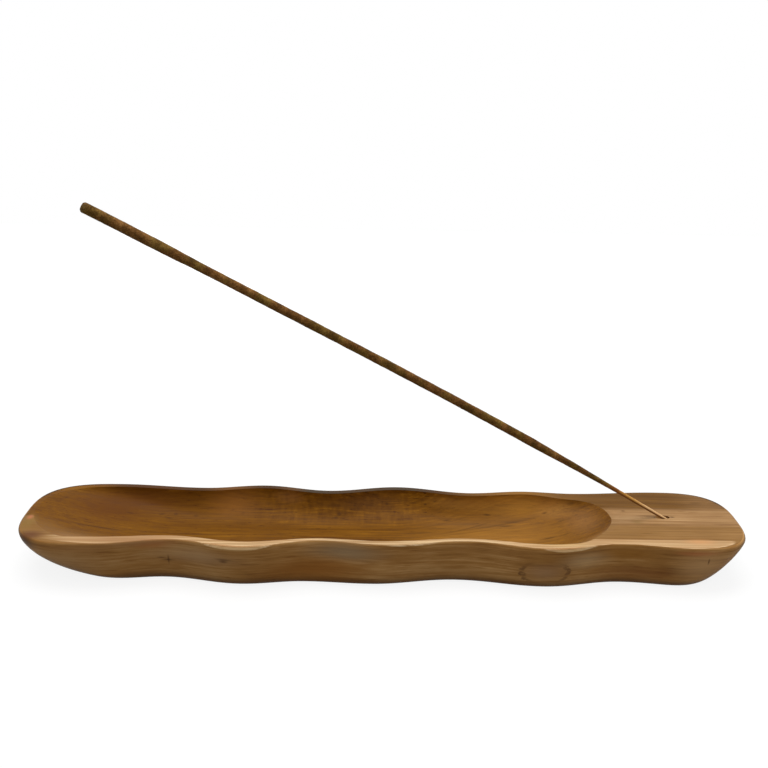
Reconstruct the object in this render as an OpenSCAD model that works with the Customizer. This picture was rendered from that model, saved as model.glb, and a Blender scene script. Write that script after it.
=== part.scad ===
// Incense stick holder: a carved hardwood tray with a long ash trough, and one incense
// stick that stands slanted in a drilled hole. Millimetres, +Z up. The origin is under
// the middle of the tray, on the surface it rests on; the stick leans towards -X.

/* [Tray] */
// Length of the tray along X
tray_length = 251; // [225:1:300]
// Height of the tray from its foot to its rim
tray_height = 16.5; // [15:0.5:24]
// Middle distance from the centre line to the rim of a long side
side_reach = 19.5; // [18:0.5:28]
// Distance along the tray from one bulge of a side to the next
bulge_pitch = 51; // [46:1:58]
// How far the wave of the sides is moved towards the stick's end
wave_shift = 3; // [-6:0.5:6]
// Length over which the left end rounds in
left_round = 28; // [20:0.5:40]
// Length over which the right end rounds in
right_round = 24; // [18:0.5:40]
// How far the foot of the left end is cut back under the rim
left_undercut = 31; // [20:1:46]
// How far the foot of the right end is cut back under the rim
right_undercut = 12; // [8:0.5:30]
// How far the lower edge of the sides rounds in
foot_round = 3; // [1:0.25:5]
// How far the eased edge is drawn in along the sides
side_edge = 0.4; // [0.2:0.1:1.2]
// How far the eased edge is drawn in at the two ends, and its depth
end_edge = 1.4; // [0.6:0.1:2.4]

/* [Ash trough] */
// Depth of the trough below the rim
trough_depth = 9.5; // [7:0.5:11]
// Width of the lip at the left end of the trough
left_lip = 2.9; // [2:0.1:10]
// Length of the flat deck at the stick's end
deck_length = 45; // [40:0.5:60]
// Width of the trough's flat floor
floor_width = 12; // [8:0.5:16]
// Length of the ramp up to the left lip
left_ramp = 58; // [30:1:64]
// Length of the ramp up to the deck
right_ramp = 30; // [16:1:50]
// Length over which the front of the trough rounds in at the left lip
lip_front_round = 16; // [12:0.5:30]
// Length over which the back of the trough rounds in at the left lip
lip_back_round = 26; // [18:0.5:36]
// Length over which the trough rounds in towards the deck
deck_round = 15; // [12:0.5:28]

/* [Stick] */
// Length of the stick that stands above the deck
stick_reach = 222; // [150:0.5:260]
// Slant of the stick above the deck, in degrees
stick_slant = 28.65; // [20:0.05:50]
// Distance from the right end of the tray to the hole's mouth
hole_inset = 26.6; // [20:0.1:34]
// How far the hole stands behind the centre line
hole_offset = 1.2; // [-4:0.1:4]
// Depth of the blind hole along its slant
hole_depth = 8; // [6:0.5:12]
// Gap between the bamboo core and the wall of the hole
hole_clearance = 0.5; // [0.3:0.05:1]
// Diameter of the bamboo core
core_d = 1.5; // [1.2:0.05:2.5]

/* [Incense paste] */
// Thickness of the paste round the core
paste_wall = 0.7; // [0.4:0.01:1.2]
// How much thicker the paste is at the burning end
tip_swell = 0.3; // [0:0.01:0.4]
// Length of the swollen burning end
swell_length = 45; // [10:1:80]
// Length of bare bamboo between the deck and the paste
bare_length = 19.5; // [10:0.5:60]
// Length over which the paste thins out towards the bare bamboo
paste_taper = 32; // [6:0.5:40]
// Thickness of the paste where it ends on the bare bamboo
feather = 0.12; // [0.05:0.01:0.3]
// Length of paste beyond the end of the core
tip_cover = 1; // [0.5:0.1:4]
// Width of the rounding at the burning end
tip_chamfer = 0.4; // [0.1:0.05:0.6]

/* [Hidden] */

// Hand-carved sides: how far each side stands out from side_reach at its bulges and
// pinches, from left to right.
front_carving = [2.7, -0.7, 3.5, -1.1, 1.2, -1.8, 2.4, -1.4, 1.0];
back_carving = [1.9, -0.2, 2.3, -1.2, 2.4, -1.6, 0.2, -1.0, 0.9];
foot_carving = [0.3, -2.4, 1.4, -0.6, 0.5, -2.7, 0.8, -2.7, -0.6];
// How far each bulge and pinch lies to the right of its place in an even row.
front_wander = [2, 1.5, 0.5, 1.5, -4, -0.5, 2, 1, 0];
back_wander = [2, 7.5, 4, 2.5, 2, 3.5, -2, -9.5, -4];
foot_wander = [2, -1.5, 0, -4.5, -7, -4.5, 1, 1.5, 0];
// Width of the rim beside the trough at the same places.
front_rim = [5.0, 3.0, 3.9, 2.0, 2.9, 2.3, 3.4, 2.6, 2.6];
back_rim = [2.6, 2.6, 2.6, 2.6, 2.6, 2.6, 2.6, 5.0, 5.0];
last_place = len(front_carving) - 1;

// The rim's widest points lie equally far from the row's middle plane.
centre_y = (max(front_carving) - max(back_carving)) / 2;
left_x = -tray_length / 2;
right_x = tray_length / 2;
rim_left_x = left_x + end_edge;
rim_right_x = right_x - end_edge;
mouth_left_x = left_x + left_lip;
mouth_right_x = right_x - deck_length;
// Share of the tray's height that the eased edge takes.
edge_t = end_edge / tray_height;

// Roundness of the ends in plan, of the bows seen from the side and of the trough.
end_power = 3;
left_bow_power = 1.75;
right_bow_power = 1.25;
foot_power = 4;
lip_front_power = 1.6;
lip_back_power = 2.7;
deck_front_power = 1.6;
deck_back_power = 2.3;
trough_wall_power = 2;
// Share of an end's rounded length that is left at the foot.
foot_end_share = 0.8;
// Length at each end of the trough over which its cross lines close up.
turn_length = 30;

// Points along one side of a ring, and rings over each stretch of height.
side_steps = 60;
edge_rings = 3;
side_rings = 7;
trough_rings = 8;
ring_crowding = 1.5;

hole_x = right_x - hole_inset;
hole_y = centre_y + hole_offset;
hole_d = core_d + 2 * hole_clearance;
stick_length = hole_depth + stick_reach;
core_length = stick_length - tip_cover;
core_r = core_d / 2;
paste_start = hole_depth + bare_length;
paste_r = core_r + paste_wall;
round_fn = 48;
taper_steps = 6;

function clamp01(v) = min(1, max(0, v));
function lerp(a, b, f) = a + (b - a) * f;

// Eased step from one bulge or pinch to the next one.
function ease(f) = (1 - cos(180 * f)) / 2;
function places(wander) = [for (k = [0 : last_place])
    wave_shift + (k - last_place / 2) * bulge_pitch / 2 + wander[k]];
front_places = places(front_wander);
back_places = places(back_wander);
foot_places = places(foot_wander);

// Level at x, given one level for each place.
function along(x, at, levels) =
    let (i = max([0, for (k = [1 : last_place - 1]) if (x > at[k]) k]))
    lerp(levels[i], levels[i + 1], ease(clamp01((x - at[i]) / (at[i + 1] - at[i]))));

// Half-width factor that rounds an end in: 0 at the tip, 1 past the rounded stretch.
function round_in(f, power) = pow(1 - pow(1 - clamp01(f), power), 1 / power);
// Share of an undercut reached at a depth share t: 0 at the rim, 1 at the foot.
function bow(t, power) = 1 - pow(1 - pow(t, power), 1 / power);

// Walks a closed ring: along the front from left to right, back along the rear.
function ring_steps() = [for (i = [0 : 2 * side_steps - 1])
    i <= side_steps ? [i / side_steps, true] : [2 - i / side_steps, false]];

// Outer ring at depth share t, drawn in by a share of the eased edge.
function outer_ring(t, eased) =
    let (
        below_edge = clamp01((t - edge_t) / (1 - edge_t)),
        x0 = left_x + left_undercut * bow(below_edge, left_bow_power) + eased * end_edge,
        x1 = right_x - right_undercut * bow(below_edge, right_bow_power) - eased * end_edge,
        drawn = foot_round * bow(t, foot_power) + eased * side_edge,
        shorter = lerp(1, foot_end_share, t)
    )
    [for (s = ring_steps())
        let (
            x = lerp(x0, x1, ease(s[0])),
            rim = s[1] ? along(x, front_places, front_carving) : along(x, back_places, back_carving),
            reach = side_reach + lerp(rim, along(x, foot_places, foot_carving), t) - drawn,
            ends = round_in((x - x0) / left_round / shorter, end_power)
                * round_in((x1 - x) / right_round / shorter, end_power)
        )
        [x, centre_y + (s[1] ? -1 : 1) * reach * ends, tray_height * (1 - t)]
    ];

// Moves x, which runs out to a tip, so that it runs out to a nearer end.
function closed_up(x, tip, end) =
    let (turn = end - turn_length, past = x - turn)
    past < 0 ? x : turn + past / (1 + past * (1 / turn_length - 1 / (tip - turn)));

// Trough ring at share s of the trough's depth. Its points face those of the rim.
function trough_ring(s) =
    let (
        open = pow(1 - pow(s, trough_wall_power), 1 / trough_wall_power),
        ramped = 1 - sqrt(1 - s),
        x0 = mouth_left_x + left_ramp * ramped,
        x1 = mouth_right_x - right_ramp * ramped
    )
    [for (p = ring_steps())
        let (
            rim_x = lerp(rim_left_x, rim_right_x, ease(p[0])),
            x = rim_x < 0 ? -closed_up(-rim_x, -rim_left_x, -x0) : closed_up(rim_x, rim_right_x, x1),
            mouth = side_reach + (p[1]
                ? along(x, front_places, front_carving - front_rim)
                : along(x, back_places, back_carving - back_rim)),
            lip = p[1]
                ? round_in((x - x0) / lip_front_round, lip_front_power)
                : round_in((x - x0) / lip_back_round, lip_back_power),
            closing = round_in((x1 - x) / deck_round, p[1] ? deck_front_power : deck_back_power),
            reach = lerp(floor_width / 2, mouth, open) * lip * closing
        )
        [x, centre_y + (p[1] ? -1 : 1) * reach, tray_height - trough_depth * s]
    ];

// Closed skin over rings of equal length: from the foot up and over the rim, then down
// into the trough.
module loft(rings) {
    count = len(rings[0]);
    last = len(rings) - 1;
    walls = [for (r = [0 : last - 1], i = [0 : count - 1])
        let (a = r * count + i, b = r * count + (i + 1) % count)
        each [[a, a + count, b + count], [a, b + count, b]]];
    foot = [for (i = [0 : count - 1]) i];
    trough_floor = [for (i = [count - 1 : -1 : 0]) last * count + i];
    polyhedron([for (r = rings) each r], concat([foot], walls, [trough_floor]));
}

// Places what is drawn along +Z on the hole's slanted axis, with z = 0 on its floor.
module on_slant() {
    translate([hole_x, hole_y, tray_height])
        rotate([0, -(90 - stick_slant), 0])
            translate([0, 0, -hole_depth]) children();
}

module tray() {
    sides = [for (k = [0 : side_rings])
        outer_ring(1 - (1 - edge_t) * pow(k / side_rings, ring_crowding), 0)];
    eased = [for (k = [1 : edge_rings])
        let (a = 90 * k / edge_rings)
        outer_ring(edge_t * (1 - sin(a)), 1 - cos(a))];
    opening = [for (k = [0 : trough_rings]) trough_ring(sin(90 * k / trough_rings))];
    color("peru") difference() {
        loft(concat(sides, eased, opening));
        on_slant() cylinder(h = hole_depth + hole_d * 2, d = hole_d, $fn = round_fn);
    }
}

module bamboo_core() {
    color("burlywood") on_slant() cylinder(h = core_length, d = core_d, $fn = round_fn);
}

// Sleeve of paste along the core, closed over the core's end.
module incense_paste() {
    swell_start = stick_length - swell_length;
    tip_r = paste_r + tip_swell;
    thinning = [for (k = [0 : taper_steps])
        [core_r + lerp(feather, paste_wall, ease(k / taper_steps)),
            paste_start + paste_taper * k / taper_steps]];
    color("saddlebrown") on_slant() rotate_extrude($fn = round_fn) polygon(concat(
        [[core_r, paste_start]],
        thinning,
        [
            [paste_r, swell_start],
            [tip_r, stick_length - swell_length / 2],
            [tip_r, stick_length - tip_chamfer],
            [tip_r - tip_chamfer, stick_length],
            [0, stick_length],
            [0, core_length],
            [core_r, core_length],
        ]
    ));
}

tray();
bamboo_core();
incense_paste();
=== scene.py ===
"""Looks of the carved wooden incense tray and its stick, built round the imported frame."""

import math

import bmesh
import bpy
import numpy as np
from mathutils import Matrix, Vector, noise


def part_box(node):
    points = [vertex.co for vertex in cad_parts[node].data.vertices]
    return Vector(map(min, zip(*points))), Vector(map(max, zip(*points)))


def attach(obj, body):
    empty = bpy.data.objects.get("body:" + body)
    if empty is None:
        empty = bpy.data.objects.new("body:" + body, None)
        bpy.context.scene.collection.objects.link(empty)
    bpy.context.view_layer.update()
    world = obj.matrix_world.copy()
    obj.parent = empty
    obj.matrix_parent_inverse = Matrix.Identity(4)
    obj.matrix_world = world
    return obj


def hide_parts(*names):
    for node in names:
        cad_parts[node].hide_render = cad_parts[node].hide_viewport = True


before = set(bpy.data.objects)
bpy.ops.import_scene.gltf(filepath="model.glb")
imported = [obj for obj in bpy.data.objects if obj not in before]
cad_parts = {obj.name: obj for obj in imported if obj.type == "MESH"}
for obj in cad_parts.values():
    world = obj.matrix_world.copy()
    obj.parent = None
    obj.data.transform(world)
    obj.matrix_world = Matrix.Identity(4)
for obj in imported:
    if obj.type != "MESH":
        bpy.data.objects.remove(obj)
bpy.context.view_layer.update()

MM = 0.001

# --- Sizes, in millimetres -------------------------------------------------------------

# The tray's length and height come from the frame. The other sizes of the tray, the hole
# and the stick are those that drive the part's own source.
TRAY_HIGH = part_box("tray")[1]
RIM_Z = TRAY_HIGH.z / MM
HALF_LENGTH = TRAY_HIGH.x / MM

# Places of the bulges and pinches along each side, from left to right, how far the side
# stands out there, and the width of the rim beside the trough.
SIDE_REACH = 19.5
BULGE_PITCH, WAVE_SHIFT = 51, 3
EVEN_ROW = WAVE_SHIFT + (np.arange(9) - 4) * BULGE_PITCH / 2
FRONT_AT = EVEN_ROW + [2, 1.5, 0.5, 1.5, -4, -0.5, 2, 1, 0]
BACK_AT = EVEN_ROW + [2, 7.5, 4, 2.5, 2, 3.5, -2, -9.5, -4]
FOOT_AT = EVEN_ROW + [2, -1.5, 0, -4.5, -7, -4.5, 1, 1.5, 0]
FRONT_OUT = np.array([2.7, -0.7, 3.5, -1.1, 1.2, -1.8, 2.4, -1.4, 1.0])
BACK_OUT = np.array([1.9, -0.2, 2.3, -1.2, 2.4, -1.6, 0.2, -1.0, 0.9])
FOOT_OUT = np.array([0.3, -2.4, 1.4, -0.6, 0.5, -2.7, 0.8, -2.7, -0.6])
FRONT_RIM = np.array([5.0, 3.0, 3.9, 2.0, 2.9, 2.3, 3.4, 2.6, 2.6])
BACK_RIM = np.array([2.6, 2.6, 2.6, 2.6, 2.6, 2.6, 2.6, 5.0, 5.0])
CENTRE_Y = (FRONT_OUT.max() - BACK_OUT.max()) / 2

LEFT_ROUND, RIGHT_ROUND = 28, 24
LEFT_UNDERCUT, RIGHT_UNDERCUT = 31, 12
LEFT_BOW, RIGHT_BOW = 1.75, 1.25
END_POWER = 3
FOOT_ROUND, FOOT_POWER, FOOT_END_SHARE = 3.0, 4, 0.8
SIDE_EDGE, END_EDGE = 0.4, 1.4
EDGE_T = END_EDGE / RIM_Z

TROUGH_DEPTH = 9.5
LEFT_LIP, DECK_LENGTH = 2.9, 45
MOUTH_LEFT, MOUTH_RIGHT = -HALF_LENGTH + LEFT_LIP, HALF_LENGTH - DECK_LENGTH
LEFT_RAMP, RIGHT_RAMP = 58, 30
LIP_FRONT_ROUND, LIP_BACK_ROUND, DECK_ROUND = 16, 26, 15
LIP_FRONT_POWER, LIP_BACK_POWER = 1.6, 2.7
DECK_FRONT_POWER, DECK_BACK_POWER = 1.6, 2.3
WALL_POWER = 2.0
FLOOR_HALF = 6.0
TURN_LENGTH = 30

HOLE_INSET, HOLE_OFFSET = 26.6, 1.2
HOLE_X, HOLE_Y = HALF_LENGTH - HOLE_INSET, CENTRE_Y + HOLE_OFFSET
SLANT = math.radians(28.65)
HOLE_DEPTH = 8.0
HOLE_CLEARANCE = 0.5
CORE_R = 0.75
HOLE_R = CORE_R + HOLE_CLEARANCE
STICK_REACH = 222
TIP_COVER = 1.0
PASTE_WALL, TIP_SWELL = 0.7, 0.3
PASTE_R = CORE_R + PASTE_WALL
SWELL_LENGTH = 45
BARE_LENGTH = 19.5

# What only the scene has: knife work, of which one stretch of the trough's far wall has
# more, the stick's slight bow, the splint's and the paste's uneven shape and thin ends.
CUT_FADE, FLOOR_CUT_FADE = 0.12, 0.2
TROUGH_CUTS, GOUGE_CUTS, SIDE_CUTS, FINE_CUTS = 0.16, 0.28, 0.16, 0.05
GOUGED_FROM, GOUGED_TO = -52, 20
GOUGED_FADE_IN, GOUGED_FADE_OUT = 8, 20
STICK_BOW, STICK_WAVE = 1.7, 0.3
SPLINT_R = 0.9 * CORE_R
SQUARENESS, SPLINT_WANDER, SPLINT_RIPPLE = 0.05, 0.03, 0.02
POINT_LENGTH, POINT_SHARE = 14, 0.8
FEATHER_R = 0.94 * CORE_R
PASTE_TAPER = 36
PASTE_LUMPS, PASTE_GRAINS, PASTE_FINE_GRAINS = 0.07, 0.04, 0.03
GRIT_R = 1.4
TIP_ROUND, TIP_NARROWING = 0.8, 0.3

# How finely the meshes are divided, and the angles in degrees above which an edge is sharp.
SIDE_STEPS = 300
SIDE_RINGS, EDGE_RINGS, RIM_RINGS, TROUGH_RINGS = 36, 8, 15, 47
DRILL_SIDES, SPLINT_SIDES, PASTE_SIDES = 48, 20, 32
SPLINT_STEP, PASTE_STEP = 1.0, 0.4
TRAY_SHARP, SPLINT_SHARP, PASTE_SHARP = 42, 60, 70


# --- Shape formulas --------------------------------------------------------------------

def lerp(a, b, f):
    return a + (b - a) * f


def ease(f):
    return (1 - np.cos(np.pi * f)) / 2


def along(x, places, levels):
    """Level at x, eased from one bulge or pinch to the next."""
    i = np.clip(np.searchsorted(places, x) - 1, 0, len(places) - 2)
    share = (x - places[i]) / (places[i + 1] - places[i])
    return lerp(levels[i], levels[i + 1], ease(np.clip(share, 0, 1)))


def round_in(f, power):
    """0 at an end's tip, 1 past its rounded stretch."""
    return (1 - (1 - np.clip(f, 0, 1)) ** power) ** (1 / power)


def bow(t, power):
    """Share of an undercut reached at depth share t."""
    return 1 - (1 - t ** power) ** (1 / power)


def ring_steps():
    """Shares of the way from left to right along the front, then back along the rear."""
    k = np.arange(2 * SIDE_STEPS)
    front = k <= SIDE_STEPS
    return np.where(front, k / SIDE_STEPS, 2 - k / SIDE_STEPS), front


def outer_ring(t, eased=0.0):
    """Ring of the outside at depth share t, drawn in by a share of the eased edge."""
    share, front = ring_steps()
    below_edge = max(0, (t - EDGE_T) / (1 - EDGE_T))
    x0 = -HALF_LENGTH + LEFT_UNDERCUT * bow(below_edge, LEFT_BOW) + eased * END_EDGE
    x1 = HALF_LENGTH - RIGHT_UNDERCUT * bow(below_edge, RIGHT_BOW) - eased * END_EDGE
    drawn = FOOT_ROUND * bow(t, FOOT_POWER) + eased * SIDE_EDGE
    shorter = lerp(1, FOOT_END_SHARE, t)
    x = lerp(x0, x1, ease(share))
    rim = np.where(front, along(x, FRONT_AT, FRONT_OUT), along(x, BACK_AT, BACK_OUT))
    reach = SIDE_REACH + lerp(rim, along(x, FOOT_AT, FOOT_OUT), t) - drawn
    reach *= round_in((x - x0) / LEFT_ROUND / shorter, END_POWER)
    reach *= round_in((x1 - x) / RIGHT_ROUND / shorter, END_POWER)
    return np.column_stack([x, CENTRE_Y + np.where(front, -reach, reach),
                            np.full_like(x, RIM_Z * (1 - t))])


def closed_up(x, tip, end):
    """Moves x, which runs out to a tip, so that it runs out to a nearer end."""
    turn = end - TURN_LENGTH
    past = np.maximum(x - turn, 0)
    return np.where(x < turn, x, turn + past / (1 + past * (1 / TURN_LENGTH - 1 / (tip - turn))))


def trough_ring(s):
    """Ring of the trough at share s of its depth; its points face those of the rim."""
    share, front = ring_steps()
    opened = (1 - s ** WALL_POWER) ** (1 / WALL_POWER)
    ramped = 1 - math.sqrt(1 - s)
    x0, x1 = MOUTH_LEFT + LEFT_RAMP * ramped, MOUTH_RIGHT - RIGHT_RAMP * ramped
    tip = HALF_LENGTH - END_EDGE
    rim_x = lerp(-tip, tip, ease(share))
    x = np.where(rim_x < 0, -closed_up(-rim_x, tip, -x0), closed_up(rim_x, tip, x1))
    mouth = SIDE_REACH + np.where(front, along(x, FRONT_AT, FRONT_OUT - FRONT_RIM),
                                  along(x, BACK_AT, BACK_OUT - BACK_RIM))
    to_lip, to_deck = x - x0, (x1 - x) / DECK_ROUND
    reach = lerp(FLOOR_HALF, mouth, opened)
    reach *= np.where(front, round_in(to_lip / LIP_FRONT_ROUND, LIP_FRONT_POWER),
                      round_in(to_lip / LIP_BACK_ROUND, LIP_BACK_POWER))
    reach *= np.where(front, round_in(to_deck, DECK_FRONT_POWER), round_in(to_deck, DECK_BACK_POWER))
    return np.column_stack([x, CENTRE_Y + np.where(front, -reach, reach),
                            np.full_like(x, RIM_Z - TROUGH_DEPTH * s)])


# --- Meshes ----------------------------------------------------------------------------

def new_object(name, verts, faces):
    mesh = bpy.data.meshes.new(name)
    mesh.from_pydata([tuple(v) for v in np.asarray(verts) * MM], [], faces)
    mesh.validate()
    mesh.update()
    obj = bpy.data.objects.new(name, mesh)
    bpy.context.scene.collection.objects.link(obj)
    return obj


def skin(rings):
    """Quads between stacked rings of equal length."""
    count = len(rings[0])
    faces = []
    for r in range(len(rings) - 1):
        for i in range(count):
            a, b = r * count + i, r * count + (i + 1) % count
            faces.append((a, a + count, b + count, b))
    return faces


def fill_across(first, count, flip):
    """Quads that close a long ring from its front points to its rear points."""
    faces = []
    for i in range(count // 2):
        front, front_next = first + i, first + i + 1
        back, back_next = first + (count - i) % count, first + (count - i - 1) % count
        loop = [front, front_next, back_next, back]
        loop = [v for k, v in enumerate(loop) if v not in loop[:k]]
        faces.append(tuple(reversed(loop)) if flip else tuple(loop))
    return faces


def shrunk(base, share):
    """A flat ring narrowed towards its own long middle line."""
    out = base.copy()
    out[:, 1] = lerp(CENTRE_Y, base[:, 1], share)
    return out


def store(obj, name, values):
    """Keeps one number per point of the mesh, for the material to read."""
    kept = obj.data.attributes.new(name, "FLOAT", "POINT")
    kept.data.foreach_set("value", np.asarray(values, np.float32))


def smooth(obj, angle):
    """Smooth shading, with a sharp edge wherever two faces meet at more than the angle."""
    obj.data.shade_smooth()
    obj.data.set_sharp_from_angle(angle=math.radians(angle))


def tidied(mesh):
    """Joins doubled points and turns every face outwards."""
    bm = bmesh.new()
    bm.from_mesh(mesh)
    bmesh.ops.remove_doubles(bm, verts=bm.verts, dist=1e-7)
    bmesh.ops.dissolve_degenerate(bm, dist=1e-7, edges=bm.edges)
    bmesh.ops.recalc_face_normals(bm, faces=bm.faces)
    bm.to_mesh(mesh)
    bm.free()


def rough(points, scale, seed):
    """Smooth noise from -1 to 1 at points in millimetres; scale holds one factor an axis."""
    offset = Vector((seed * 17.3, seed * -9.1, seed * 5.7))
    return np.array([noise.noise(Vector(p * scale) + offset) for p in np.asarray(points)])


def moved_out(ring, distance):
    """A ring with its front moved forwards and its rear backwards."""
    out = ring.copy()
    out[:, 1] += np.where(ring[:, 1] < CENTRE_Y, -1, 1) * distance
    return out


def carved_side(ring, from_flat):
    """Knife work on a ring of the side; it fades out towards the rim and the foot."""
    cuts = SIDE_CUTS * rough(ring, (0.06, 0.1, 0.14), 3)
    cuts += FINE_CUTS * rough(ring, (0.25, 0.3, 0.35), 4)
    return moved_out(ring, np.clip(from_flat / CUT_FADE, 0, 1) * cuts)


def carved_trough(ring, s):
    """Knife work on a ring at share s of the trough's depth, deepest where it is gouged."""
    x, far_wall = ring[:, 0], ring[:, 1] >= CENTRE_Y
    gouged = far_wall * np.clip((x - GOUGED_FROM) / GOUGED_FADE_IN, 0, 1)
    gouged = gouged * np.clip((GOUGED_TO - x) / GOUGED_FADE_OUT, 0, 1)
    cuts = TROUGH_CUTS * rough(ring, (0.10, 0.1, 0.12), 1)
    cuts += GOUGE_CUTS * gouged * rough(ring, (0.42, 0.05, 0.14), 2)
    window = np.clip(s / CUT_FADE, 0, 1) * np.clip((1 - s) / FLOOR_CUT_FADE, 0, 1)
    return moved_out(ring, window * cuts)


def steps_to_one(count):
    """Evenly spaced shares, the last of them 1 and the first one step past 0."""
    return np.linspace(0, 1, count + 1)[1:]


def tray_rings():
    """Rings from the foot, up the side, over the rim and down to the floor of the trough.

    Also tells which ring is the outer end of the rim and which is the trough's mouth.
    """
    rings = [shrunk(outer_ring(1.0), f) for f in (0.25, 0.5, 0.75)]
    for f in np.linspace(0, 1, SIDE_RINGS):
        t = 1 - (1 - EDGE_T) * f ** 1.5
        rings.append(carved_side(outer_ring(t), min(t, 1 - t) - EDGE_T / 2))
    for a in np.radians(90 * steps_to_one(EDGE_RINGS)):
        rings.append(outer_ring(EDGE_T * (1 - math.sin(a)), 1 - math.cos(a)))
    rim_at = len(rings) - 1
    rim, mouth = rings[-1], trough_ring(0.0)
    rings += [lerp(rim, mouth, f) for f in steps_to_one(RIM_RINGS)]
    mouth_at = len(rings) - 1
    for s in np.sin(np.radians(90 * steps_to_one(TROUGH_RINGS))):
        rings.append(carved_trough(trough_ring(s), s))
    rings += [shrunk(rings[-1], f) for f in (0.66, 0.33)]
    return rings, rim_at, mouth_at


def build_tray():
    rings, rim_at, mouth_at = tray_rings()
    count = 2 * SIDE_STEPS
    faces = fill_across(0, count, True) + skin(rings)
    faces += fill_across((len(rings) - 1) * count, count, False)
    tray = new_object("carved_tray", np.vstack(rings), faces)
    in_trough = np.repeat(np.arange(len(rings)) >= mouth_at, count)
    store(tray, "trough", in_trough.astype(float))
    from_edge = [np.linalg.norm(ring - rings[rim_at], axis=1) for ring in rings[rim_at:]]
    store(tray, "from_edge", np.concatenate([np.zeros(count)] * rim_at + from_edge))
    tidied(tray.data)
    return tray


def slant_point(distance, lift=0.0):
    """Point on the stick's axis at a distance from the hole's mouth, lifted square to it."""
    run, rise = -math.cos(SLANT), math.sin(SLANT)
    return np.array([HOLE_X + run * distance + rise * lift, HOLE_Y,
                     RIM_Z + rise * distance - run * lift])


def turns_round(sides):
    return np.arange(sides) * 2 * np.pi / sides


def tube(name, radii, axis_points, sides):
    """Closed tube round a line of points; radii is one number or a row for each point."""
    points = np.asarray(axis_points)
    heading = np.gradient(points, axis=0)
    heading /= np.linalg.norm(heading, axis=1)[:, None]
    side = np.array([0.0, 1.0, 0.0])
    up = np.cross(heading, side)
    turn = turns_round(sides)
    radii = np.broadcast_to(np.asarray(radii), (len(points), sides))
    around = (np.cos(turn)[None, :, None] * side[None, None, :]
              + np.sin(turn)[None, :, None] * up[:, None, :])
    verts = (points[:, None, :] + radii[:, :, None] * around).reshape(-1, 3)
    faces = skin([verts[:sides]] * len(points))
    faces.append(tuple(range(sides)))
    faces.append(tuple(range(len(verts) - 1, len(verts) - sides - 1, -1)))
    obj = new_object(name, verts, faces)
    tidied(obj.data)
    return obj


def stick_axis(start, end, step):
    """Distances up the stick and the points there, on its slightly bowed axis."""
    distance = np.linspace(start, end, int(round((end - start) / step)) + 1)
    share = np.clip(distance / STICK_REACH, 0, 1)
    lift = STICK_BOW * 4 * share * (1 - share) + STICK_WAVE * np.sin(2 * np.pi * share)
    return distance, np.array([slant_point(d, l) for d, l in zip(distance, lift)])


def drill(tray):
    """Cuts the slanted blind hole into the deck, with a cutter that ends clear above it."""
    ends = [slant_point(-HOLE_DEPTH), slant_point(2 * HOLE_R / math.tan(SLANT) + 2)]
    axis_points = [lerp(ends[0], ends[1], f) for f in np.linspace(0, 1, 12)]
    cutter = tube("drill", HOLE_R, axis_points, DRILL_SIDES)
    cut = tray.modifiers.new("hole", "BOOLEAN")
    cut.operation = "DIFFERENCE"
    cut.solver = "EXACT"
    cut.object = cutter
    bpy.context.view_layer.update()
    evaluated = tray.evaluated_get(bpy.context.evaluated_depsgraph_get())
    drilled = bpy.data.meshes.new_from_object(evaluated)
    tray.modifiers.remove(cut)
    undrilled = tray.data
    tray.data = drilled
    bpy.data.meshes.remove(undrilled)
    bpy.data.objects.remove(cutter)


def build_core():
    """Split bamboo: slightly square, of wandering thickness, thinner at its lower end."""
    distance, points = stick_axis(-HOLE_DEPTH, STICK_REACH - TIP_COVER, SPLINT_STEP)
    square = 1 - SQUARENESS * np.cos(4 * turns_round(SPLINT_SIDES) + 0.5)
    wander = 1 + SPLINT_WANDER * np.sin(distance * 0.35)
    wander += SPLINT_RIPPLE * np.sin(distance * 1.1 + 1)
    pointed = lerp(POINT_SHARE, 1, np.clip(distance / POINT_LENGTH, 0, 1))
    radii = SPLINT_R * square[None, :] * (wander * pointed)[:, None]
    core = tube("bamboo_splint", radii, points, SPLINT_SIDES)
    smooth(core, SPLINT_SHARP)
    return core


def paste_grit(distance):
    """Lumps and grains of the pressed incense, one row round the stick for each distance."""
    where = np.array([[d, math.cos(a) * GRIT_R, math.sin(a) * GRIT_R]
                      for d in distance for a in turns_round(PASTE_SIDES)])
    grit = PASTE_GRAINS * rough(where, (1.1,) * 3, 1)
    grit += PASTE_FINE_GRAINS * rough(where, (2.6,) * 3, 2)
    grit += PASTE_LUMPS * rough(where, (0.25,) * 3, 3)
    return grit.reshape(len(distance), PASTE_SIDES)


def build_paste():
    """The incense: it feathers out downwards and swells towards its rounded tip."""
    distance, points = stick_axis(BARE_LENGTH, STICK_REACH, PASTE_STEP)
    covered = np.clip((distance - BARE_LENGTH) / PASTE_TAPER, 0, 1)
    to_tip = STICK_REACH - distance
    swell = ease(np.clip((SWELL_LENGTH - to_tip) / (SWELL_LENGTH / 2), 0, 1))
    radius = lerp(FEATHER_R, PASTE_R, covered) + swell * TIP_SWELL
    radius *= np.where(to_tip < TIP_ROUND, 1 - TIP_NARROWING * (1 - to_tip / TIP_ROUND) ** 2, 1)
    grit = paste_grit(distance) * np.minimum(1, covered + 0.3)[:, None]
    paste = tube("incense_coating", radius[:, None] + grit, points, PASTE_SIDES)
    smooth(paste, PASTE_SHARP)
    return paste


# --- Materials -------------------------------------------------------------------------

def srgb(red, green, blue):
    """Linear colour of an 8-bit sRGB one."""
    channels = [c / 255 for c in (red, green, blue)]
    return tuple(c / 12.92 if c <= 0.04045 else ((c + 0.055) / 1.055) ** 2.4 for c in channels) + (1.0,)


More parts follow.
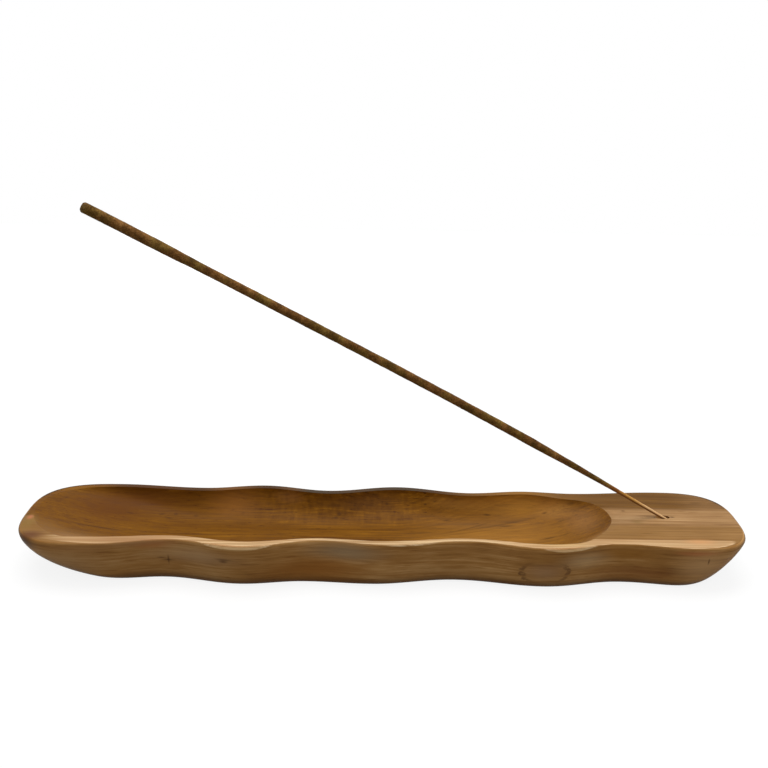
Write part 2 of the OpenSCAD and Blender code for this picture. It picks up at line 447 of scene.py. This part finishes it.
class Nodes:
    """Short calls that build a node tree."""

    def __init__(self, tree):
        self.tree = tree

    def add(self, kind, inputs=None, **settings):
        made = self.tree.nodes.new(kind)
        for key, value in settings.items():
            setattr(made, key, value)
        for key, value in (inputs or {}).items():
            self.put(made.inputs[key], value)
        return made

    def put(self, socket, value):
        if isinstance(value, bpy.types.NodeSocket):
            self.tree.links.new(value, socket)
        else:
            socket.default_value = value

    def scaled(self, vector, factors, offset=(0, 0, 0)):
        """Times factors plus an offset, in one light node: the teak fills the renderer's stack."""
        return self.add("ShaderNodeVectorMath", {0: vector, 1: factors, 2: offset},
                        operation="MULTIPLY_ADD").outputs[0]

    def length(self, vector):
        return self.add("ShaderNodeVectorMath", {0: vector}, operation="LENGTH").outputs["Value"]

    def noise(self, vector, detail=2.0, roughness=0.5):
        return self.add("ShaderNodeTexNoise", {
            "Vector": vector, "Scale": 1.0, "Detail": detail,
            "Roughness": roughness}).outputs["Fac"]

    def math(self, operation, a, b=0.0, c=0.0):
        made = self.add("ShaderNodeMath", operation=operation)
        for socket, value in zip(made.inputs, (a, b, c)):
            self.put(socket, value)
        return made.outputs[0]

    def swing(self, value, size, onto=0.0):
        """Noise from 0 to 1 turned into a swing to either side, added onto a value."""
        return self.math("MULTIPLY_ADD", self.math("SUBTRACT", value, 0.5), size, onto)

    def product(self, first, *rest):
        for value in rest:
            first = self.math("MULTIPLY", first, value)
        return first

    def inverse(self, mask):
        return self.math("SUBTRACT", 1.0, mask)

    def spread(self, value, low, high, to_low=0.0, to_high=1.0):
        """A smooth step from one level to another as the value goes from low to high."""
        return self.add("ShaderNodeMapRange", {
            "Value": value, "From Min": low, "From Max": high,
            "To Min": to_low, "To Max": to_high},
            interpolation_type="SMOOTHSTEP").outputs["Result"]

    def between(self, value, low, high, blur):
        """1 between two limits, fading to 0 over a blur beyond them."""
        return self.math("MULTIPLY", self.spread(value, low - blur, low),
                         self.spread(value, high, high + blur, 1.0, 0.0))

    def near(self, vector, centre, radii):
        """1 at a centre, fading to 0 at the surface of an ellipsoid round it."""
        scale = [1 / r for r in radii]
        local = self.scaled(vector, scale, [-c * s for c, s in zip(centre, scale)])
        return self.spread(self.length(local), 0.0, 1.0, 1.0, 0.0)

    def mix(self, factor, a, b):
        made = self.add("ShaderNodeMix", data_type="RGBA")
        for key, value in (("Factor_Float", factor), ("A_Color", a), ("B_Color", b)):
            self.put(next(s for s in made.inputs if s.identifier == key), value)
        return next(s for s in made.outputs if s.identifier == "Result_Color")

    def split(self, vector):
        return self.add("ShaderNodeSeparateXYZ", {"Vector": vector}).outputs

    def join(self, x, y, z):
        return self.add("ShaderNodeCombineXYZ", {"X": x, "Y": y, "Z": z}).outputs[0]

    def ramp(self, value, stops):
        """Colours in 8-bit sRGB at places from 0 to 1."""
        made = self.add("ShaderNodeValToRGB", {"Fac": value})
        points = made.color_ramp.elements
        while len(points) < len(stops):
            points.new(0.5)
        for point, (place, color) in zip(points, stops):
            point.position = place
            point.color = srgb(*color)
        return made.outputs["Color"]

    def attribute(self, name):
        return self.add("ShaderNodeAttribute", attribute_name=name).outputs["Fac"]

    def bump(self, height, distance, strength):
        return self.add("ShaderNodeBump", {
            "Height": height, "Distance": distance, "Strength": strength}).outputs["Normal"]

    def looked_at(self):
        """1 for the rays that show the background to the eye, by reflection and glass too."""
        rays = self.add("ShaderNodeLightPath").outputs
        return self.math("MAXIMUM", rays["Is Camera Ray"],
                         self.math("MAXIMUM", rays["Is Glossy Ray"], rays["Is Transmission Ray"]))


class Surface(Nodes):
    """The node tree of one material; positions are in millimetres."""

    def __init__(self, name):
        self.material = bpy.data.materials.new(name)
        self.material.use_nodes = True
        super().__init__(self.material.node_tree)
        self.shader = self.tree.nodes["Principled BSDF"]
        self.coords = self.add("ShaderNodeTexCoord")
        self.position = self.scaled(self.coords.outputs["Object"], (1 / MM,) * 3)

    def finished(self, color, roughness, specular, normal):
        for name, value in (("Base Color", color), ("Roughness", roughness),
                            ("Specular IOR Level", specular), ("Normal", normal)):
            self.put(self.shader.inputs[name], value)
        return self.material


# Patches of wood: centre and reach in millimetres, with y from the tray's middle line, the
# colour that they tend to, and how strongly.
PATCHES = [
    ((-84, 19, 12), (26, 9, 9), (94, 50, 6), 0.8),
    ((-100, 12, 12), (24, 14, 9), (98, 52, 2), 0.7),
    ((-10, 19, 12), (24, 8, 7), (98, 60, 26), 0.75),
    ((30, 18, 13), (18, 6, 5), (188, 134, 62), 0.8),
    ((-56, 18, 12), (15, 10, 9), (150, 96, 36), 0.8),
    ((-34, 19, 14), (9, 6, 4), (146, 96, 44), 0.7),
    ((51, 17, 13), (30, 9, 8), (184, 128, 50), 0.85),
    ((42, 0, 8), (44, 22, 12), (162, 111, 44), 0.95),
    ((70, 4, 13), (14, 12, 5), (158, 110, 58), 0.8),
    ((62, 13, 13), (12, 6, 5), (196, 140, 70), 0.6),
    ((-117, -9, 15), (12, 9, 6), (132, 90, 36), 0.7),
    ((-122, -8, 16.5), (4, 8, 3), (140, 106, 50), 0.9),
    ((-95, -10, 12), (26, 7, 7), (136, 94, 40), 0.6),
    ((-13, -20, 13), (20, 7, 5.5), (168, 140, 104), 0.8),
    ((82, -19, 13), (16, 6, 4.5), (162, 108, 40), 0.8),
    ((85, -19, 5), (22, 6, 5), (150, 96, 48), 0.7),
    ((105, -20, 14.6), (11, 5, 1.6), (176, 96, 50), 0.7),
    ((-77, -19, 15), (11, 5, 2.6), (180, 106, 56), 0.5),
    ((-25, -19, 6), (28, 6, 7), (158, 100, 38), 0.8),
    ((108, -20, 9), (15, 8, 9), (206, 160, 108), 0.8),
    ((54, -21, 7), (11, 6, 5), (176, 134, 92), 0.8),
    ((-105, -16, 9), (22, 9, 9), (184, 148, 108), 0.75),
    ((-62, -20, 11), (26, 6, 5), (184, 148, 108), 0.6),
    ((68, -20, 11), (14, 6, 5), (210, 172, 124), 0.6),
    ((20, -20, 4), (32, 6, 4.5), (148, 102, 52), 0.55),
    ((107, -15.6, 16.5), (8, 2.6, 2), (228, 162, 104), 0.5),
    ((-100, -19, 14.5), (15, 6, 2.6), (190, 140, 90), 0.6),
    ((-86, -19, 16.5), (30, 6, 3), (166, 120, 76), 0.8),
    ((60, -18, 16.5), (14, 3, 3), (214, 176, 116), 0.6),
    ((-122.5, -4.7, 16.5), (1.8, 2.4, 2), (200, 122, 84), 0.7),
    ((-118, -16.5, 16.5), (7, 4, 2.6), (104, 62, 34), 0.85),
    ((89, -2.5, 16.5), (3.5, 2.2, 2), (124, 96, 44), 0.5),
    ((-127, -5, 14), (5.5, 11, 5), (56, 48, 38), 0.95),
    ((126.5, -2, 13), (3.5, 14, 5), (74, 58, 40), 0.8),
]

# Small dark marks, with painted shade at the hole's mouth and the stick's painted shadow beside it:
# centre and reach as above, slope across the tray, strength.
MARKS_AND_SHADOWS = [
    ((-72.5, -18, 8.5), (3.2, 4, 0.6), 0, 0.6),
    ((-72.3, -18, 8.7), (0.6, 4, 2.8), 0, 0.65),
    ((-74.6, -18, 9.4), (2.4, 4, 0.5), 0, 0.6),
    ((-53.2, -21.8, 11.0), (4.4, 4, 0.6), 0, 0.6),
    ((-53.4, -21.8, 10.2), (2.2, 4, 0.9), 0, 0.65),
    ((109.1, -19.7, 11.4), (0.5, 4, 2.0), 0, 0.7),
    ((59, 13.3, 10.9), (3.2, 0.6, 0.6), 0.1, 0.7),
    ((86, 5.4, 16.5), (1.2, 0.9, 2), 0, 0.5),
    ((59.4, 0.5, 7.8), (5, 0.7, 2), 0.1, 0.7),
    ((38.3, 13, 10), (2.2, 0.6, 0.6), 0, 0.8),
    ((44.9, 9.2, 7.5), (5, 0.6, 2), 0.05, 0.6),
    ((65.1, 0.9, 9.3), (4, 0.6, 2), 0.08, 0.5),
    ((-16.2, 12.8, 9.6), (1.5, 1, 1), 0, 0.7),
    ((-17.5, 11.7, 8.8), (1.7, 0.8, 1), 0, 0.6),
    ((15.6, 16.6, 12.1), (1.0, 0.6, 0.6), 0, 0.7),
    ((1.3, 17.3, 11.7), (0.9, 0.8, 1), 0, 0.6),
    ((23.3, 11.3, 8.4), (2.4, 0.6, 1), 0.1, 0.6),
    ((68.9, 12.9, 15.3), (3, 0.8, 1), 0, 0.4),
    ((-81.2, 11.9, 9.1), (1.8, 0.8, 1), 0.3, 0.5),
    ((-78.3, 10.2, 8.4), (2.2, 0.6, 1), 0, 0.5),
    ((-76.1, 12.3, 9), (1.2, 1, 1), 0, 0.5),
    ((-68.8, 11.8, 8.6), (1.5, 0.8, 1), 0, 0.4),
    ((-92.5, 10.9, 10), (2.4, 0.7, 1), -0.1, 0.5),
    ((30, 7.3, 8), (15, 0.6, 3), 0.38, 0.5),
    # Painted shade at the mouth of the hole.
    ((102.4, 1.3, 16.5), (1.5, 0.6, 2), 0, 0.9),
    # Painted shadow of the stick on the deck.
    ((94, 1.9, 16.5), (5.5, 0.6, 2), 0, 0.6),
    ((-100, -0.8, 11), (16, 0.7, 8), 0.056, 0.7),
    ((-72, -2.2, 8), (14, 0.5, 4), 0.02, 0.4),
    ((30, 4.8, 9), (18, 0.7, 6), 0.26, 0.45),
    ((38, 8.6, 9), (17, 0.6, 6), 0.24, 0.5),
    ((36, 0.2, 9), (16, 0.5, 6), 0.20, 0.4),
    ((50, 11.6, 11), (12, 0.8, 6), 0.16, 0.45),
    ((56, -2.0, 9), (12, 0.5, 6), 0.1, 0.35),
    ((62, 8.0, 12), (10, 0.5, 6), 0.12, 0.35),
]


# The knot that shows on the fourth bulge of the front: its middle and reach, along and up.
KNOT_X, KNOT_Z, KNOT_HALF_LENGTH, KNOT_HALF_HEIGHT = 54.2, 6.9, 7.9, 4.7


class Teak(Surface):
    """Oiled teak: the parts of the tray, the grain through them, and their colours."""

    def __init__(self):
        super().__init__("oiled_teak")
        self.x, self.y, self.z = self.split(self.scaled(self.position, (1, 1, 1), (0, -CENTRE_Y, 0)))
        self.centred = self.join(self.x, self.y, self.z)
        self.along_grain, _, self.upward = self.split(self.coords.outputs["Normal"])
        self.find_parts()
        self.grow()
        self.streaks = self.noise(self.scaled(self.centred, (0.025, 2.4, 0.8), (2, 6, 1)),
                                  detail=3, roughness=0.6)

    def find_parts(self):
        """Masks that are 1 on a part of the tray and 0 elsewhere."""
        inner = self.attribute("trough")
        below = self.spread(self.z, RIM_Z - 0.12, RIM_Z - 0.02, 1.0, 0.0)
        lip = self.product(self.spread(self.x, -94, -110), self.spread(self.y, -5, -2.5))
        self.depth = self.math("SUBTRACT", RIM_Z, self.z)
        self.edge = self.attribute("from_edge")
        self.outer = self.inverse(inner)
        self.hollow = self.product(inner, below)
        self.trough = self.math("MAXIMUM", self.hollow, lip)
        self.side = self.product(self.outer, below)
        self.flat = self.inverse(self.math("MAXIMUM", below, lip))

    def grow(self):
        """Grain of layers that stand nearly upright, square to the tray's width."""
        drift = self.noise(self.scaled(self.position, (0.008, 0.02, 0.03)), detail=1)
        lean = self.product(self.hollow, self.spread(self.x, 0, 62, 0.0, 14.0))
        across = self.product(self.y, self.spread(self.side, 0, 1, 1.0, 0.12))
        upright = self.math("MULTIPLY_ADD", self.z, 0.3, across)
        layer = self.swing(drift, 7.0, self.math("SUBTRACT", upright, lean))
        grown = self.join(self.math("MULTIPLY", self.x, 0.016), self.math("MULTIPLY", layer, 1.9),
                          self.math("MULTIPLY", self.z, 0.05))
        level = self.join(self.x, across, self.z)
        self.lines = self.noise(grown, detail=3, roughness=0.6)
        bands = self.noise(self.scaled(grown, (0.8, 0.2, 0.6), (4, 1, 2)))
        self.fibre = self.noise(self.scaled(level, (0.05, 1.2, 1.2)), detail=5, roughness=0.7)
        ticks = self.noise(self.scaled(level, (0.09, 1.3, 1.3), (7, 1, 4)), detail=3)
        flecks = self.noise(self.scaled(level, (0.30, 1.9, 1.9), (2, 9, 6)))
        pores = self.noise(self.scaled(level, (0.16, 4.5, 4.5), (1, 2, 3)))
        blotch = self.noise(self.scaled(self.centred, (0.03, 0.07, 0.09), (3, 8, 5)),
                            detail=3, roughness=0.6)
        strokes = self.noise(self.scaled(self.centred, (0.6, 0.12, 0.3), (5, 5, 5)), detail=3)
        gouged = self.product(self.trough, self.spread(self.x, -54, -40),
                              self.spread(self.x, 24, 4), self.spread(self.y, 7, 12))
        in_trough = self.product(self.spread(flecks, 0.64, 0.74), self.trough)
        self.pores = self.spread(pores, 0.62, 0.74)

        line_size = self.math("MULTIPLY_ADD", self.flat, 0.4, self.spread(self.side, 0, 1, 0.5, 0.35))
        tone = self.swing(self.lines, line_size, 0.5)
        tone = self.swing(bands, 0.3, tone)
        tone = self.swing(self.fibre, self.spread(self.flat, 0, 1, 0.9, 0.4), tone)
        tone = self.swing(blotch, self.spread(self.side, 0, 1, 0.5, 0.85), tone)
        tone = self.math("MULTIPLY_ADD", self.spread(ticks, 0.60, 0.72), -0.2, tone)
        tone = self.math("MULTIPLY_ADD", in_trough, -0.3, tone)
        tone = self.math("MULTIPLY_ADD", gouged, self.swing(strokes, 0.5), tone)
        self.tone = self.math("MULTIPLY_ADD", self.pores, -0.12, tone)

    def deck_color(self):
        """The deck and the rim: pale in the middle, browner in front, dark at the rear, with painted
        shade on the rear rim.
        """
        middle = self.ramp(self.tone, [(0.1, (130, 90, 48)), (0.4, (160, 119, 73)),
                                       (0.6, (176, 136, 90)), (0.9, (206, 166, 118))])
        front = self.ramp(self.tone, [(0.1, (128, 88, 40)), (0.5, (149, 108, 57)),
                                      (0.9, (172, 130, 80))])
        rear = self.ramp(self.tone, [(0.1, (90, 57, 10)), (0.5, (108, 70, 18)),
                                     (0.9, (128, 88, 32))])
        ragged = self.swing(self.lines, 1.6, self.y)
        at_rear = self.product(self.spread(ragged, 4.4, 8.8), self.spread(self.x, 104, 119, 1.0, 0.65))
        color = self.mix(self.spread(ragged, -3.5, -6.0), middle, front)
        color = self.mix(at_rear, color, rear)
        # Painted shade on the rear rim: brown, and grey with a painted sheen between x -26 and 8.
        grey = self.mix(self.between(self.x, -26, 8, 14), srgb(74, 46, 18), srgb(70, 55, 38))
        rear_rim_shade = self.product(self.spread(self.y, 13.5, 15.5), self.spread(self.x, 72, 62), self.flat)
        return self.mix(rear_rim_shade, color, grey)

    def trough_color(self):
        """Deep brown, a little paler towards the front."""
        carved = self.ramp(self.tone, [(0.1, (80, 42, 0)), (0.45, (116, 71, 4)),
                                       (0.6, (124, 78, 6)), (0.9, (158, 107, 26))])
        return self.mix(self.product(self.spread(self.y, -5, -11), 0.25), carved, srgb(176, 132, 78))

    def side_color(self):
        return self.ramp(self.tone, [(0.1, (124, 78, 26)), (0.5, (168, 119, 62)),
                                     (0.9, (204, 160, 104))])

    def shade_ends(self, color):
        """Paints shade on the foot, on what faces down and where the ends turn away, and darkens the end
        grain and the front of the left tip.
        """
        # Painted shade: darker towards the foot and on what faces down; the ends get darker end grain
        # plus painted shade, and the steep undersides get painted shade.
        low = self.math("MAXIMUM", self.spread(self.z, 4.2, 0.6), self.spread(self.upward, -0.3, -0.75))
        end_grain_and_shade = self.spread(self.math("ABSOLUTE", self.along_grain), 0.45, 0.78)
        dark_tip = self.near(self.centred, (-120.5, -17.5, 14.5), (8, 6, 4))
        for mask, tint in (
                (self.product(self.side, low, 0.8), srgb(68, 40, 16)),
                (self.product(self.side, end_grain_and_shade, 0.65), srgb(96, 71, 47)),
                (self.product(self.side, self.spread(self.upward, -0.55, -0.85), 0.7), srgb(48, 42, 34)),
                (self.product(self.outer, dark_tip, 0.95), srgb(76, 52, 26))):
            color = self.mix(mask, color, tint)
        return color

    def add_sapwood(self, color):
        """Pale strip along the front rim, which laps a little over the edge at three bulges; a painted
        highlight runs along its edge, and painted light lightens it where it laps over.
        """
        sap = self.ramp(self.streaks, [(0.32, (168, 122, 78)), (0.46, (196, 154, 106)),
                                       (0.54, (208, 170, 122)), (0.66, (240, 206, 158))])
        left, middle, right = [self.between(self.x, low, high, 9)
                               for low, high in ((-54, -44), (6, 12), (60, 64))]
        lapping = self.math("MAXIMUM", left, self.math("MAXIMUM", self.product(middle, 0.35), right))
        lapped = self.math("MULTIPLY_ADD", lapping, 0.9, 0.05)
        outwards = self.math("ADD", self.swing(self.streaks, 0.5, self.y),
                             self.spread(self.x, -98, -112, 0.0, 1.6))
        inwards = self.math("SUBTRACT", self.math("ADD", self.edge, lapping),
                            self.spread(self.x, -92, -112, 0.0, 0.9))
        strip = self.product(self.spread(outwards, -14.4, -14.9), self.outer,
                             self.spread(self.depth, lapped, self.math("ADD", lapped, 0.3), 1.0, 0.0),
                             self.spread(inwards, 0.05, 0.4),
                             self.spread(self.x, -117, -101), self.spread(self.x, 119.5, 117.5))
        color = self.mix(strip, color, sap)
        # Painted highlight along the front edge, streaked with the grain.
        edge_highlight = self.product(strip, self.between(self.edge, 0.1, 0.9, 0.5),
                              self.spread(self.streaks, 0.4, 0.56),
                              self.spread(self.x, -70, -58, 0.15, 0.5))
        color = self.mix(edge_highlight, color, srgb(250, 220, 172))
        # Where the sapwood laps over the edge it is painted much lighter: the sapwood's own colour plus
        # painted light that a rounded edge would catch.
        lapped_sap_and_light = self.product(lapping, self.spread(self.edge, 0.95, 0.5), strip, 0.8)
        return self.mix(lapped_sap_and_light, color, self.mix(self.spread(self.depth, 0.1, 0.4),
                                                srgb(178, 128, 78), srgb(248, 204, 144)))

    # Painted shade on the eased outer edge along the rear.
    def paint_rear_edge_shade(self, color):
        rear_edge_shade = self.product(self.outer, self.spread(self.y, 8, 12), self.spread(self.edge, 0.7, 0.1),
                                 self.spread(self.depth, 1.8, 0.5), 0.8)
        return self.mix(rear_edge_shade, color, srgb(60, 40, 22))

    def add_patches(self, color):
        """The patches, faint on the outside of the rear."""
        rear = self.product(self.side, self.spread(self.y, 8, 14))
        visible = self.spread(rear, 0, 1, 1.0, 0.25)
        for centre, radii, tint, strength in PATCHES:
            patch = self.product(self.near(self.centred, centre, radii), visible, strength)
            color = self.mix(patch, color, srgb(*tint))
        return color

    def add_contrast(self, color):
        """Grain over the patches too, clearest in the right half of the trough."""
        contrast = self.product(self.spread(self.x, -92, 10, 0.2, 0.7),
                                self.spread(self.side, 0, 1, 1.0, 0.55),
                                self.spread(self.flat, 0, 1, 1.0, 0.55))
        return self.add("ShaderNodeVectorMath", {0: color, "Scale": self.swing(self.tone, contrast, 1.0)},
                        operation="SCALE").outputs[0]

    def add_marks_and_shadows(self, color):
        ragged = self.swing(self.fibre, 0.6, 1.0)
        for centre, radii, slope, strength in MARKS_AND_SHADOWS:
            sloped_y = self.math("MULTIPLY_ADD", self.math("SUBTRACT", self.x, centre[0]), -slope, self.y)
            spot = self.near(self.join(self.x, sloped_y, self.z), centre, radii)
            color = self.mix(self.product(spot, ragged, strength), color, srgb(62, 34, 8))
        return color

    def add_knot(self, color):
        """Outline of a sound knot, strongest at its two ends."""
        crooked = self.noise(self.scaled(self.centred, (0.35, 0.2, 0.6), (4, 4, 4)),
                             detail=3, roughness=0.6)
        knot_at = self.join(self.swing(crooked, 4.5, self.x), 0.0, self.swing(crooked, 2.8, self.z))
        from_middle = self.length(self.scaled(
            knot_at, (1 / KNOT_HALF_LENGTH, 1, 1 / KNOT_HALF_HEIGHT),
            (-KNOT_X / KNOT_HALF_LENGTH, 0, -KNOT_Z / KNOT_HALF_HEIGHT)))
        along_knot = self.math("ABSOLUTE", self.math("SUBTRACT", self.x, KNOT_X))
        ring = self.product(self.between(from_middle, 0.96, 1.04, 0.10), self.spread(self.z, 12.0, 9.0),
                            self.spread(self.y, -10, -14), self.spread(along_knot, 3.0, 8.0, 0.2, 1.0),
                            self.spread(self.fibre, 0.35, 0.55), 0.62)
        return self.mix(ring, color, srgb(70, 40, 18))


def wood_material():
    n = Teak()
    color = n.mix(n.trough, n.deck_color(), n.trough_color())
    color = n.mix(n.side, color, n.side_color())
    for step in (n.shade_ends, n.add_sapwood, n.paint_rear_edge_shade, n.add_patches, n.add_contrast,
                 n.add_marks_and_shadows, n.add_knot):
        color = step(color)
    relief = n.math("MULTIPLY_ADD", n.pores, -0.6, n.fibre)
    return n.finished(color, n.spread(n.fibre, 0.3, 0.7, 0.5, 0.62), 0.11, n.bump(relief, 0.00006, 0.5))


def bamboo_material():
    """Golden split bamboo with painted shade on its underside, paler at the hole, stained by the paste.
    """
    n = Surface("split_bamboo")
    turned = n.add("ShaderNodeVectorRotate", {
        "Vector": n.position, "Axis": (0, 1, 0), "Angle": -SLANT}, rotation_type="AXIS_ANGLE").outputs[0]
    x = n.split(n.position)[0]
    upward = n.split(n.coords.outputs["Normal"])[2]
    fibre = n.noise(n.scaled(turned, (0.12, 4, 4)), detail=4, roughness=0.6)
    golden = n.ramp(fibre, [(0.25, (160, 102, 24)), (0.5, (206, 148, 62)), (0.8, (234, 180, 92))])
    pale = n.ramp(fibre, [(0.25, (190, 140, 88)), (0.5, (232, 186, 128)), (0.8, (246, 210, 158))])
    underside_shade = n.ramp(fibre, [(0.25, (92, 52, 16)), (0.8, (142, 92, 38))])
    color = n.mix(n.spread(x, HOLE_X - 13, HOLE_X - 4), golden, pale)
    # Painted shade: darker where the splint faces down.
    color = n.mix(n.spread(upward, 0.35, -0.25), color, underside_shade)
    stained = n.product(n.spread(x, HOLE_X - 12.5, HOLE_X - 16.5), 0.6)
    color = n.mix(stained, color, srgb(138, 84, 30))
    return n.finished(color, 0.6, 0.2, n.bump(fibre, 0.00005, 0.5))


def paste_material():
    """Pressed incense, warm and olive by turns, thin over the bamboo and grey at the tip."""
    n = Surface("incense_paste")
    clumps = n.noise(n.scaled(n.position, (0.3,) * 3), detail=3, roughness=0.6)
    grit = n.noise(n.scaled(n.position, (2.4,) * 3), detail=4, roughness=0.7)
    hue = n.noise(n.scaled(n.position, (0.16,) * 3, (5, 5, 5)))
    tone = n.swing(grit, 1.0, clumps)
    warm = n.ramp(tone, [(0.25, (72, 42, 10)), (0.5, (112, 74, 30)), (0.8, (158, 112, 62))])
    olive = n.ramp(tone, [(0.25, (66, 44, 8)), (0.5, (104, 75, 26)), (0.8, (146, 114, 54))])
    color = n.mix(n.spread(hue, 0.42, 0.58), warm, olive)
    thin = n.spread(n.split(n.position)[0], slant_point(BARE_LENGTH + 5)[0], slant_point(BARE_LENGTH)[0])
    color = n.mix(n.product(thin, 0.7), color, srgb(150, 88, 34))
    burnt = n.product(n.near(n.position, slant_point(STICK_REACH), (3.2,) * 3), 0.9)
    color = n.mix(burnt, color, srgb(64, 56, 42))
    return n.finished(color, 0.85, 0.15, n.bump(grit, 0.00012, 0.8))


# The floor's glow under the tray, and the distances over which it rises to full white.
FLOOR_GLOW = 0.86
FLOOR_FADE = (230, 420)


def floor_material():
    """White to the eye, plain grey to the light that it sends back up."""
    n = Surface("studio_floor")
    seen = n.looked_at()
    plain = n.noise(n.scaled(n.position, (0.004,) * 3))
    grey = n.ramp(plain, [(0.0, (112, 111, 109)), (1.0, (116, 115, 113))])
    white = n.ramp(plain, [(0.0, (104, 104, 104)), (1.0, (107, 107, 107))])
    n.put(n.shader.inputs["Base Color"], n.mix(seen, grey, white))
    n.put(n.shader.inputs["Roughness"], 0.9)
    far = n.spread(n.length(n.position), *FLOOR_FADE)
    glow = n.add("ShaderNodeEmission", {
        "Color": (1, 1, 1, 1), "Strength": n.product(seen, n.spread(far, 0, 1, FLOOR_GLOW, 1.0))})
    total = n.add("ShaderNodeAddShader", {0: n.shader.outputs[0], 1: glow.outputs[0]})
    n.put(n.tree.nodes["Material Output"].inputs["Surface"], total.outputs[0])
    return n.material


# --- Pieces ----------------------------------------------------------------------------

tray = build_tray()
drill(tray)
smooth(tray, TRAY_SHARP)
tray.data.materials.append(wood_material())
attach(tray, "tray")
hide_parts("tray")

core = build_core()
core.data.materials.append(bamboo_material())
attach(core, "stick")
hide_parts("bamboo_core")

paste = build_paste()
paste.data.materials.append(paste_material())
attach(paste, "stick")
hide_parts("incense_paste")


# --- Stage, light and camera -----------------------------------------------------------

STAGE_HALF, STAGE_Z = 600, -0.2

floor = new_object("floor", [(x * STAGE_HALF, y * STAGE_HALF, STAGE_Z)
                             for x, y in ((-1, -1), (1, -1), (1, 1), (-1, 1))], [(0, 1, 2, 3)])
floor.data.materials.append(floor_material())


def light_world(strength):
    """A world that is white to the eye and lights the object with a lower strength."""
    world = bpy.data.worlds.new("studio")
    bpy.context.scene.world = world
    world.use_nodes = True
    n = Nodes(world.node_tree)
    background = n.tree.nodes["Background"].inputs
    n.put(background["Color"], (1, 1, 1, 1))
    n.put(background["Strength"], n.math("MULTIPLY_ADD", n.looked_at(), 1 - strength, strength))


def area_light(name, place, target, size, watts):
    """A soft lamp; its place, target and size are in metres."""
    light = bpy.data.lights.new(name, "AREA")
    light.shape = "RECTANGLE"
    light.size, light.size_y = size
    light.energy = watts
    lamp = bpy.data.objects.new(name, light)
    bpy.context.scene.collection.objects.link(lamp)
    lamp.location = place
    lamp.rotation_euler = (Vector(target) - Vector(place)).to_track_quat("-Z", "Y").to_euler()


light_world(0.4)
area_light("overhead", (-0.05, 0.16, 0.9), (0, 0, 0), (0.9, 0.5), 6.0)
area_light("fill", (0.35, -0.45, 0.5), (0, 0, 0), (0.5, 0.5), 0.5)

# The camera: where it stands, against the middle of the rim, how it is turned, and its lens.
CAMERA_AT = Vector((-4.7, -280.48 + CENTRE_Y, RIM_Z + 155.44)) * MM
PITCH, YAW, ROLL = math.radians(20.705), math.radians(-0.780), math.radians(1.154)
LENS, SENSOR = 42.19, 36


def add_camera():
    level_x = Matrix.Rotation(YAW, 3, "Z") @ Vector((1, 0, 0))
    level_y = Matrix.Rotation(YAW, 3, "Z") @ Vector((0, math.sin(PITCH), math.cos(PITCH)))
    camera_x = level_x * math.cos(ROLL) + level_y * math.sin(ROLL)
    camera_y = level_y * math.cos(ROLL) - level_x * math.sin(ROLL)
    turned = Matrix((camera_x, camera_y, camera_x.cross(camera_y))).transposed()
    lens = bpy.data.cameras.new("camera")
    lens.sensor_width = SENSOR
    lens.lens = LENS
    lens.clip_start = 0.01
    camera = bpy.data.objects.new("camera", lens)
    bpy.context.scene.collection.objects.link(camera)
    camera.matrix_world = Matrix.Translation(CAMERA_AT) @ turned.to_4x4()
    bpy.context.scene.camera = camera


add_camera()
bpy.context.scene.view_settings.view_transform = "Standard"
